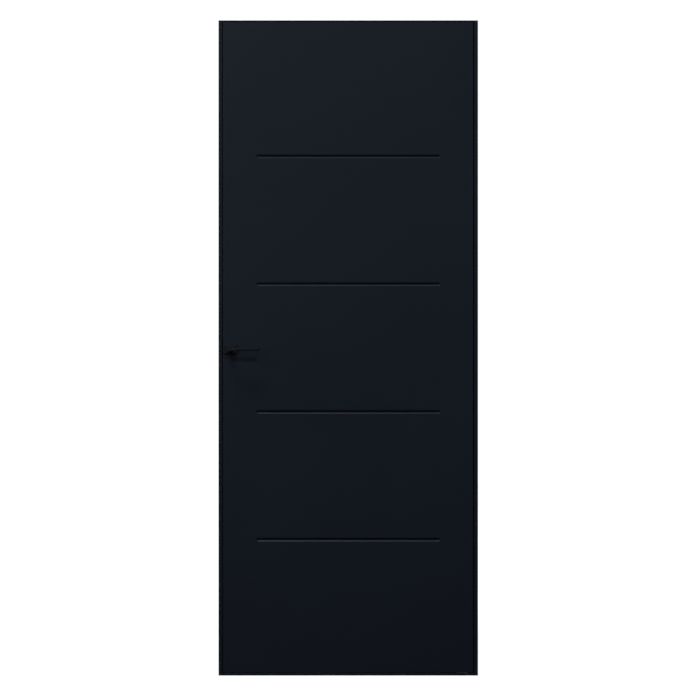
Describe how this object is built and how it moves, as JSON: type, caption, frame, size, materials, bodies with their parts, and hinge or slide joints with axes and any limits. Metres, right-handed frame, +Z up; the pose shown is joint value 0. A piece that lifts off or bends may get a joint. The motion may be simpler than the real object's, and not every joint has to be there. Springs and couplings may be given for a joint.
{
  "type": "interior door with frame",
  "caption": "Flush interior door leaf with horizontal V-grooves in a slim frame, hung on hidden corner pivots, with a lever handle and mortise latch.",
  "frame": {"origin": "on the floor, at the middle of the frame's width and of the leaf's thickness", "axes": "+Z up, +X to the hinge side (right, seen from the front), +Y from the front into the wall"},
  "size_m": [0.8284, 0.15, 2.092],
  "materials": {
    "leaf_lacquer": "satin near-black blue lacquer on fibreboard",
    "softwood": "planed, unfinished",
    "core_board": "pressed chips, unfinished",
    "frame_lacquer": "satin near-black blue powder coat on aluminium",
    "seal_rubber": "matt",
    "handle_lacquer": "satin near-black lacquer on die-cast metal",
    "bright_steel": "bright zinc plating",
    "black_steel": "satin black plating",
    "pivot_steel": "turned and zinc plated",
    "nylon": "matt, self-lubricating"
  },
  "bodies": {
    "frame": {"lock_jamb": "frame_lacquer", "hinge_jamb": "frame_lacquer", "lock_stop": "frame_lacquer", "hinge_stop": "frame_lacquer", "head_plate": "frame_lacquer", "head_stop": "frame_lacquer", "sill": "frame_lacquer", "frame_screws": "bright_steel", "lock_seal": "seal_rubber", "hinge_seal": "seal_rubber", "head_seal": "seal_rubber", "strike_plate": "black_steel", "strike_box": "nylon", "strike_screws": "black_steel", "bottom_pivot_plate": "pivot_steel", "pivot_plate_screws": "bright_steel", "thrust_washer": "nylon", "top_pivot_bush": "nylon"},
    "leaf": {"front_skin": "leaf_lacquer", "back_skin": "leaf_lacquer", "lock_stile": "softwood", "hinge_stile": "softwood", "bottom_rail": "softwood", "top_rail": "softwood", "core": "core_board", "lock_lipping": "leaf_lacquer", "hinge_lipping": "leaf_lacquer", "bottom_pivot_shoe": "pivot_steel", "top_pivot_housing": "pivot_steel", "top_pivot_pin": "pivot_steel", "pin_grub_screw": "bright_steel", "pivot_wood_screws": "bright_steel", "lock_case": "bright_steel", "lock_cover": "bright_steel", "case_screws": "bright_steel", "faceplate": "black_steel", "faceplate_screws": "black_steel", "latch_spring": "bright_steel", "front_rose_base": "nylon", "back_rose_base": "nylon", "front_rose_cover": "handle_lacquer", "back_rose_cover": "handle_lacquer", "rose_screws": "bright_steel"},
    "handle": {"spindle": "bright_steel", "follower": "bright_steel", "front_lever": "handle_lacquer", "back_lever": "handle_lacquer", "lever_grub_screws": "black_steel"},
    "latch": {"latch_bolt": "bright_steel"}
  },
  "joints": [
    {"name": "door_swing", "type": "hinge", "parent": "frame", "child": "leaf", "pos_m": [0.38875, -0.012, 0], "axis": [0, 0, 1], "range_deg": [0, 105]},
    {"name": "lever_turn", "type": "hinge", "parent": "leaf", "child": "handle", "pos_m": [-0.37625, 0, 1.042], "axis": [0, 1, 0], "range_deg": [0, 38], "stiffness_Nm_per_rad": 0.8, "springref_deg": -20.05},
    {"name": "latch_slide", "type": "slide", "parent": "leaf", "child": "latch", "axis": [1, 0, 0], "range_m": [0, 0.0105], "deforming": ["latch_spring"]}
  ],
  "couplings": [
    {"joint": "latch_slide", "follows": "lever_turn", "m_per_rad": 0.01583}
  ]
}
